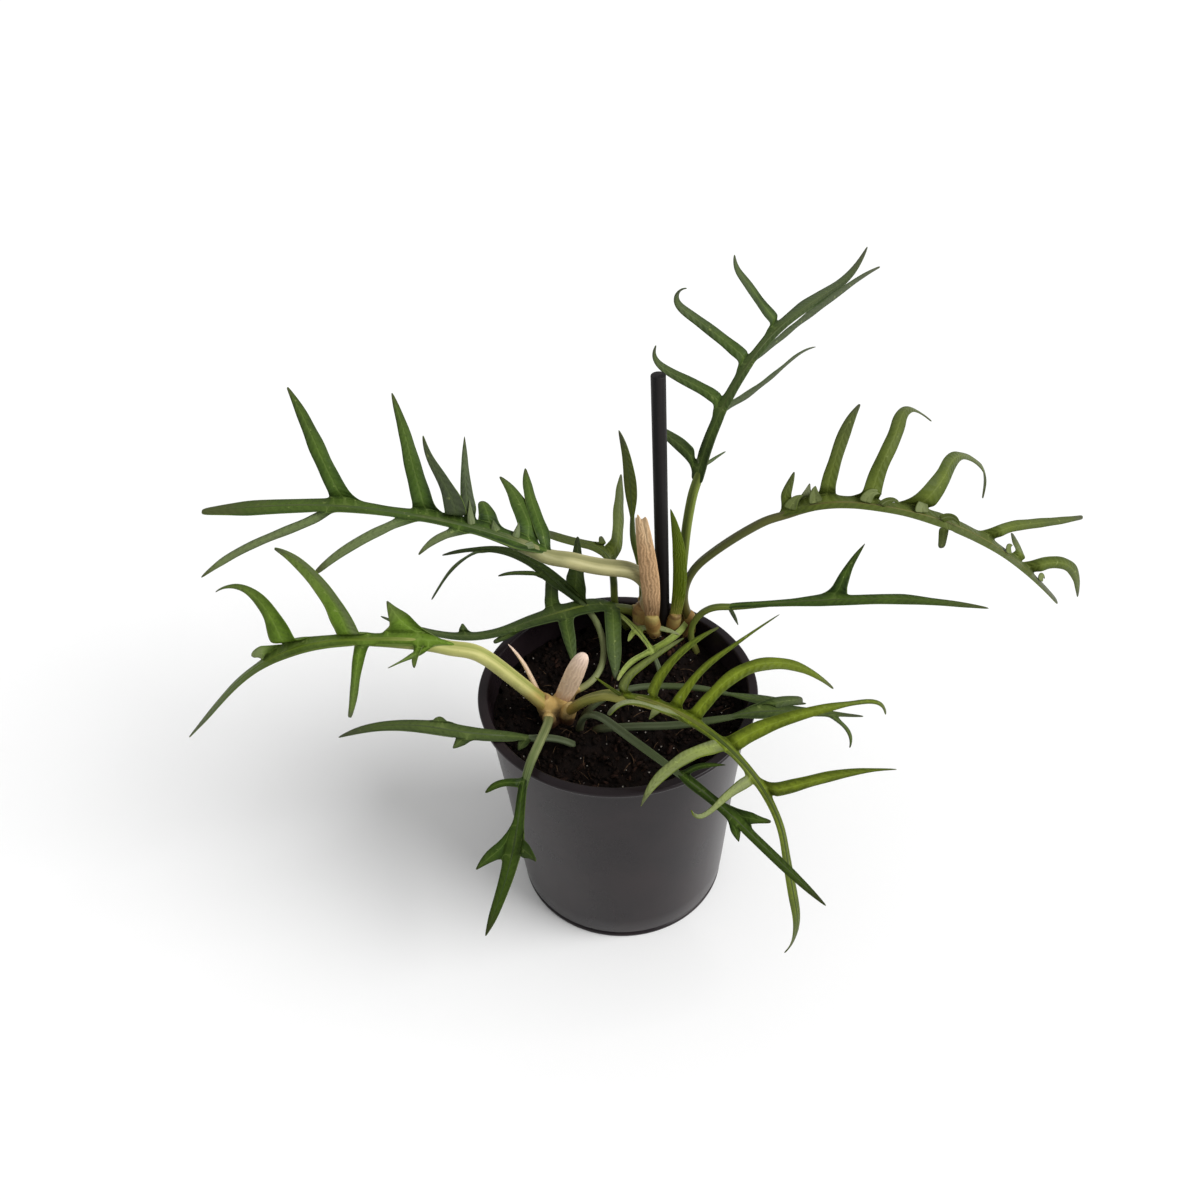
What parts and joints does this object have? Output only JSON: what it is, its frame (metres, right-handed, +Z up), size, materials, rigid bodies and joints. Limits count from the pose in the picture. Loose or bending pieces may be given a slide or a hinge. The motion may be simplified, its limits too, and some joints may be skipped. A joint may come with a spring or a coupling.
{
  "type": "potted philodendron tortum",
  "caption": "Young aroid house plant with deeply cut skeleton-like leaves on two crowns, a support stake and a round black nursery pot.",
  "frame": {"origin": "middle of the pot's flat underside, at the surface that the pot stands on", "axes": "+Z up, +X to the right along the plant's long spread, the pot's front towards -Y"},
  "size_m": [0.4032, 0.2661, 0.2646],
  "materials": {
    "pot": "satin black moulded plastic",
    "soil": "moist dark potting mix with fibres and pale specks",
    "stake": "black, slightly glossy",
    "crown": "fleshy, tan to yellow-green",
    "leaf_dark": "waxy dark green blade, paler rib",
    "leaf_green": "waxy fresh green blade, yellow-green rib",
    "sheath_pink": "fleshy, pinkish cream",
    "sheath_tan": "papery, dry tan",
    "sheath_green": "smooth yellow-green"
  },
  "bodies": {
    "root": {"pot": "pot", "soil": "soil", "stake": "stake", "crown_front": "crown", "crown_back": "crown", "leaf_far_left": "leaf_dark", "leaf_upright": "leaf_dark", "leaf_arching": "leaf_dark", "leaf_low_right": "leaf_dark", "leaf_back_left": "leaf_dark", "leaf_behind": "leaf_green", "leaf_tall": "leaf_green", "leaf_star": "leaf_green", "leaf_near_left": "leaf_green", "leaf_front_down": "leaf_green", "leaf_near_right": "leaf_green", "leaf_low_front": "leaf_green", "leaf_low_left": "leaf_dark", "leaf_swan": "leaf_dark", "leaf_far_right_low": "leaf_dark", "leaf_mid_right": "leaf_green", "sheath_pink_thick": "sheath_pink", "sheath_pink_thin": "sheath_pink", "sheath_tan": "sheath_tan", "sheath_green": "sheath_green"}
  },
  "joints": []
}
